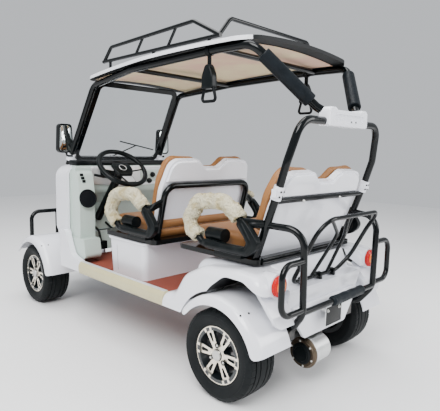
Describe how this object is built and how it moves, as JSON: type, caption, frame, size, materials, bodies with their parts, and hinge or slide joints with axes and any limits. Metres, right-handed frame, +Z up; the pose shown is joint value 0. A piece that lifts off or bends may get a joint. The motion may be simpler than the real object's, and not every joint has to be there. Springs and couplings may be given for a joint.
{
  "type": "golf cart",
  "caption": "Compact electric golf cart with two bench seats, roof on bent tubes, windshield, cycle fenders, roof rack and folding rear luggage rack.",
  "frame": {"origin": "on the ground under the middle of the bounding box", "axes": "+X forward, +Y to the driver's left, +Z up"},
  "size_m": [2.8462, 1.2, 1.9006],
  "materials": {
    "white_body": "gloss moulded shell",
    "black_tube": "gloss powder coat",
    "tan_vinyl": "smooth vinyl",
    "black_plastic": "moulded",
    "sage_plastic": "moulded",
    "floor_rubber": "ribbed mat",
    "sill_cream": "moulded",
    "steel": "painted",
    "motor_alloy": "cast",
    "rim_alloy": "machined",
    "tyre_rubber": "road tyre",
    "clear_glass": "clear",
    "lamp_red": "lens",
    "foam_ivory": "foam sleeve",
    "lamp_clear": "lens"
  },
  "bodies": {
    "chassis": {"chassis_frame": "steel", "floor_pan": "steel", "floor_mat": "floor_rubber", "side_sills": "sill_cream", "front_body": "white_body", "headlamps": "lamp_clear", "dash_panel": "sage_plastic", "windshield_frame": "black_tube", "windshield_glass": "clear_glass", "column_and_pedals": "black_plastic", "front_guard": "black_tube", "front_seat_base": "white_body", "battery_pack": "black_plastic", "front_seat_frame": "black_tube", "front_seat_cushion": "tan_vinyl", "front_back_cushion": "tan_vinyl", "rear_body": "white_body", "rear_valance": "white_body", "tail_lamps": "lamp_red", "rear_seat_frame": "black_tube", "rear_seat_cushion": "tan_vinyl", "rear_back_cushion": "tan_vinyl", "seat_shells": "white_body", "armrests": "black_plastic", "roof_frame": "black_tube", "lamp_box": "white_body", "roof_panel": "white_body", "roof_rack": "black_tube", "mirrors": "black_plastic", "rear_guard": "black_tube", "rack_brackets": "black_tube", "front_axle": "steel", "rear_axle": "steel", "drive_motor": "motor_alloy", "rear_fenders": "white_body", "hand_grips": "black_plastic", "armrest_wraps": "foam_ivory", "pillar_clamps": "white_body"},
    "steering_wheel": {"steering_wheel": "black_plastic"},
    "knuckle_left": {"front_knuckle_left": "steel", "front_fender_left": "white_body"},
    "knuckle_right": {"front_knuckle_right": "steel", "front_fender_right": "white_body"},
    "wheel_front_left": {"rim_front_left": "rim_alloy", "tyre_front_left": "tyre_rubber"},
    "wheel_front_right": {"rim_front_right": "rim_alloy", "tyre_front_right": "tyre_rubber"},
    "wheel_rear_left": {"rim_rear_left": "rim_alloy", "tyre_rear_left": "tyre_rubber"},
    "wheel_rear_right": {"rim_rear_right": "rim_alloy", "tyre_rear_right": "tyre_rubber"},
    "luggage_rack": {"rear_rack": "black_tube"}
  },
  "joints": [
    {"name": "steer_left", "type": "hinge", "parent": "chassis", "child": "knuckle_left", "pos_m": [0.99006, 0.372, 0.23], "axis": [0, 0, 1], "range_deg": [-28, 28]},
    {"name": "steer_right", "type": "hinge", "parent": "chassis", "child": "knuckle_right", "pos_m": [0.99006, -0.372, 0.23], "axis": [0, 0, 1], "range_deg": [-28, 28]},
    {"name": "steering_wheel_turn", "type": "hinge", "parent": "chassis", "child": "steering_wheel", "pos_m": [0.28406, 0.22, 1.085], "axis": [-0.6428, 0, 0.766], "range_deg": [-336, 336]},
    {"name": "rack_fold", "type": "hinge", "parent": "chassis", "child": "luggage_rack", "pos_m": [-1.24594, 0, 0.58], "axis": [0, -1, 0], "range_deg": [0, 63.4]},
    {"name": "roll_front_left", "type": "hinge", "parent": "knuckle_left", "child": "wheel_front_left", "pos_m": [0.99006, 0.48, 0.23], "axis": [0, 1, 0], "continuous": true},
    {"name": "roll_front_right", "type": "hinge", "parent": "knuckle_right", "child": "wheel_front_right", "pos_m": [0.99006, -0.48, 0.23], "axis": [0, 1, 0], "continuous": true},
    {"name": "roll_rear_left", "type": "hinge", "parent": "chassis", "child": "wheel_rear_left", "pos_m": [-1.03394, 0.48, 0.23], "axis": [0, 1, 0], "continuous": true},
    {"name": "roll_rear_right", "type": "hinge", "parent": "chassis", "child": "wheel_rear_right", "pos_m": [-1.03394, -0.48, 0.23], "axis": [0, 1, 0], "continuous": true}
  ],
  "couplings": [
    {"joint": "steer_right", "follows": "steer_left", "ratio": 1},
    {"joint": "steering_wheel_turn", "follows": "steer_left", "ratio": 12}
  ]
}
